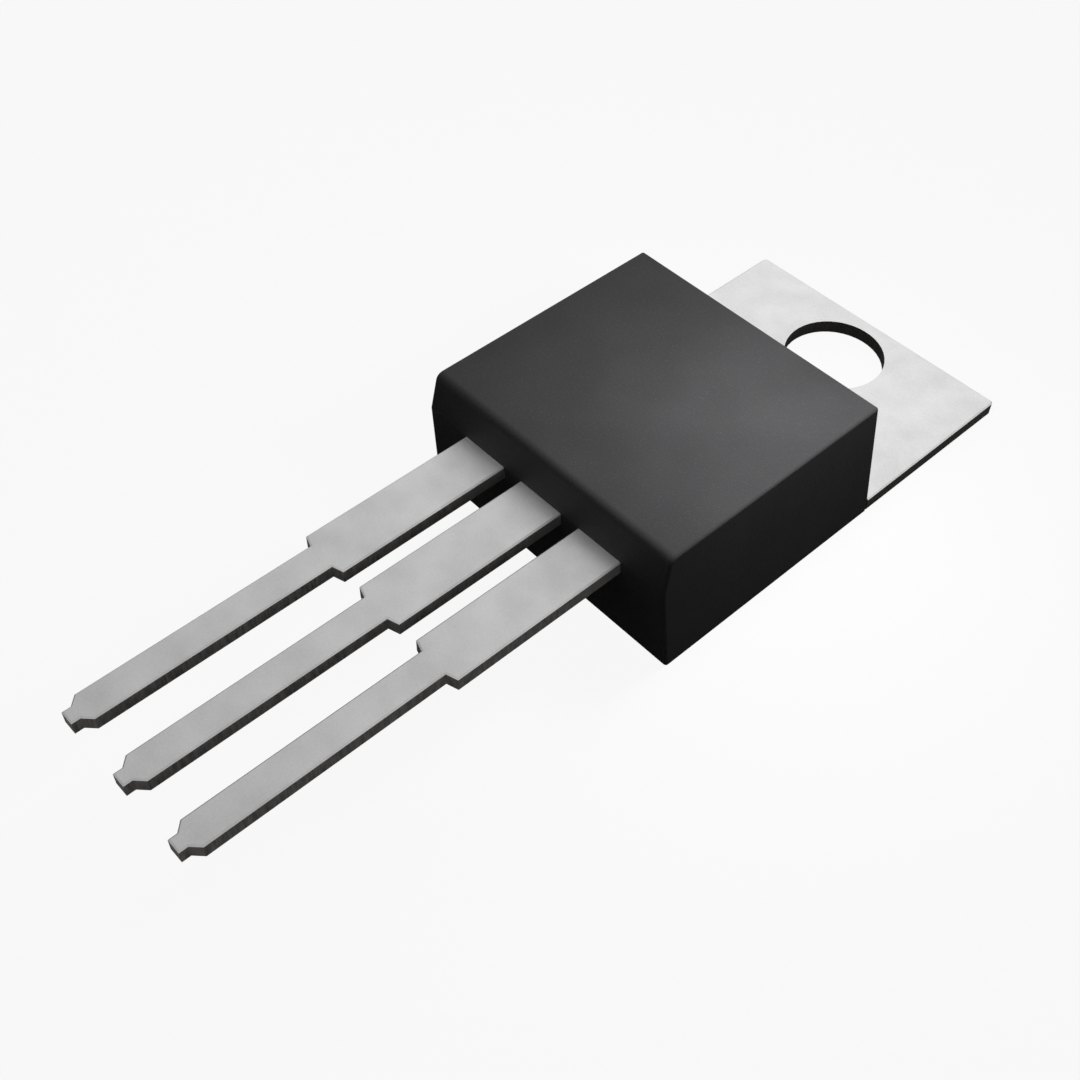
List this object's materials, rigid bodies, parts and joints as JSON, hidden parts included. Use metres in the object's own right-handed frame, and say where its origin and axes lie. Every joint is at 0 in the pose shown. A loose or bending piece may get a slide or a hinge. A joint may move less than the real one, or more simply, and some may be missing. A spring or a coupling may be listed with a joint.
{
  "type": "field-effect transistor",
  "caption": "Power transistor: moulded flat body on a drilled metal heat tab, with a row of flat leads that narrow to their tips for a circuit board.",
  "frame": {"origin": "centre of the mounting hole on the flat back face of the heat tab", "axes": "+Z out of the back face towards the front of the body, +Y towards the free end of the tab, leads along -Y, X across the row of leads"},
  "size_m": [0.0108, 0.0314, 0.0048],
  "materials": {
    "plated_strip": "matte tin plate on stamped copper",
    "epoxy_mould": "matte black epoxy moulding",
    "silicon": "polished silicon",
    "solder": "dull solder",
    "bond_wire": "drawn aluminium wire"
  },
  "bodies": {
    "root": {"heat_tab": "plated_strip", "gate_lead": "plated_strip", "source_lead": "plated_strip", "moulded_body": "epoxy_mould", "silicon_chip": "silicon", "chip_solder": "solder", "gate_wire": "bond_wire", "source_wire": "bond_wire"}
  },
  "joints": []
}
